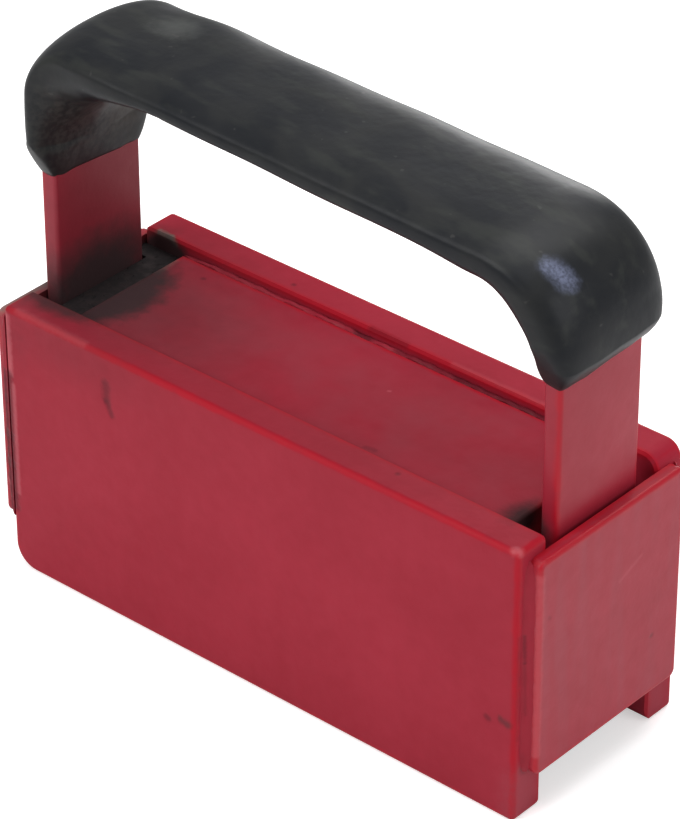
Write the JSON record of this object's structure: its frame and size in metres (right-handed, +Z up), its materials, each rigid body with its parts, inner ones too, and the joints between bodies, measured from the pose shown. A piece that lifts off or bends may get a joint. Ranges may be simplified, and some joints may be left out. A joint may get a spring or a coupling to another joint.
{
  "type": "handle magnet",
  "caption": "Block magnet with two steel pole plates, end plates and a fixed strap handle with a dipped grip, for lifting and holding steel.",
  "frame": {"origin": "middle of the pole plates' feet, on the surface that the magnet rests on", "axes": "+X along the plates towards the end where the handle's leg stands clear of its end plate, +Y towards the rear plate, +Z up towards the handle"},
  "size_m": [0.1058, 0.0382, 0.0925],
  "materials": {
    "body_paint": "glossy red paint, soft edges",
    "end_plate_paint": "glossy red paint on thin plate",
    "spacer_paint": "thin red paint with dark overspray at one end",
    "strap_paint": "red paint, dark soot at one foot",
    "weld_paint": "rough bead under paint",
    "weld_metal": "bare weld metal",
    "dipped_vinyl": "soft black dipped coat",
    "ferrite": "dull charcoal ground blocks",
    "resin": "poured black resin"
  },
  "bodies": {
    "root": {"front_pole_plate": "body_paint", "rear_pole_plate": "body_paint", "left_end_plate": "end_plate_paint", "right_end_plate": "end_plate_paint", "spacer_bar": "spacer_paint", "handle_strap": "strap_paint", "handle_grip": "dipped_vinyl", "base_resin": "resin", "magnet_front_left": "ferrite", "magnet_front_right": "ferrite", "magnet_rear_left": "ferrite", "magnet_rear_right": "ferrite", "left_front_weld": "weld_paint", "left_rear_weld": "weld_paint", "right_front_weld": "weld_paint", "right_rear_weld": "weld_paint", "left_leg_welds": "weld_metal", "right_leg_welds": "weld_metal", "left_slot_resin": "resin", "right_slot_resin": "resin"}
  },
  "joints": []
}
